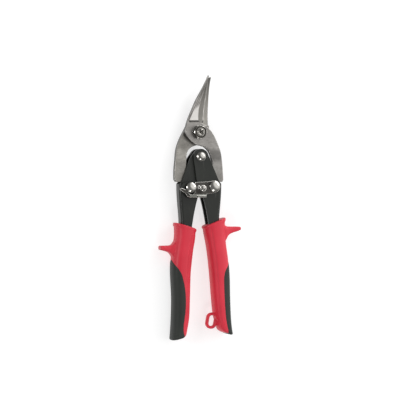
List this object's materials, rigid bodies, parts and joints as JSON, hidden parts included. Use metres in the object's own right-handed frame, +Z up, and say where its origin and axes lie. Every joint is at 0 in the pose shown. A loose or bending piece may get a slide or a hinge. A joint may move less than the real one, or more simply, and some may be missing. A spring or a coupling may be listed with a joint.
{
  "type": "aviation snips",
  "caption": "Compound-action sheet metal shears with offset curved jaws, sprung and latched handles, and two-part moulded grips with finger guards and a hanging loop.",
  "frame": {"origin": "bottom centre of the bounding box: the tool lies on a bench with its back down", "axes": "+Y towards the jaw tips, +X to the right seen from the front face, +Z up out of the front face, along the pivot axes"},
  "size_m": [0.0788, 0.25, 0.023],
  "materials": {
    "blade_steel": "satin forged and ground tool steel",
    "dark_fastener": "black oxide",
    "plated_steel": "bright zinc plate",
    "latch_steel": "zinc plate",
    "spring_steel": "oiled spring wire",
    "black_steel": "black powder coat",
    "red_grip": "satin moulded plastic",
    "black_grip": "matte soft panel"
  },
  "bodies": {
    "right_handle": {"right_handle": "black_steel", "right_grip": "red_grip", "right_grip_inlay": "black_grip", "handle_rivet": "plated_steel", "spring_bush": "plated_steel", "opening_spring": "spring_steel", "right_tail_rivet": "plated_steel", "right_tail_spacer": "plated_steel", "latch_washer": "plated_steel"},
    "left_handle": {"left_handle": "black_steel", "left_grip": "red_grip", "left_grip_inlay": "black_grip", "left_tail_rivet": "plated_steel", "left_tail_spacer": "plated_steel", "latch_rest_plate": "black_steel"},
    "front_blade": {"front_blade": "blade_steel", "pivot_bolt": "dark_fastener", "pivot_lock_washer": "plated_steel", "pivot_nut": "plated_steel"},
    "back_blade": {"back_blade": "blade_steel"},
    "latch": {"latch_hook": "latch_steel"}
  },
  "joints": [
    {"name": "handle_pivot", "type": "hinge", "parent": "right_handle", "child": "left_handle", "pos_m": [-0.0009, 0.0484, 0.0105], "axis": [0, 0, -1], "range_deg": [0, 30], "deforming": ["opening_spring"]},
    {"name": "right_tail_pivot", "type": "hinge", "parent": "right_handle", "child": "front_blade", "pos_m": [0.0117, 0.0202, 0.0105], "axis": [0, 0, -1], "range_deg": [0, 7.3]},
    {"name": "blade_pivot", "type": "hinge", "parent": "front_blade", "child": "back_blade", "pos_m": [-0.0022, 0.0714, 0.0105], "axis": [0, 0, -1], "range_deg": [0, 16.2]},
    {"name": "latch_pivot", "type": "hinge", "parent": "right_handle", "child": "latch", "pos_m": [0.0117, 0.0202, 0.0193], "axis": [0, 0, 1], "range_deg": [-9, 50]}
  ],
  "couplings": [
    {"joint": "right_tail_pivot", "follows": "handle_pivot", "ratio": 0.2375},
    {"joint": "blade_pivot", "follows": "handle_pivot", "ratio": 0.5345}
  ]
}
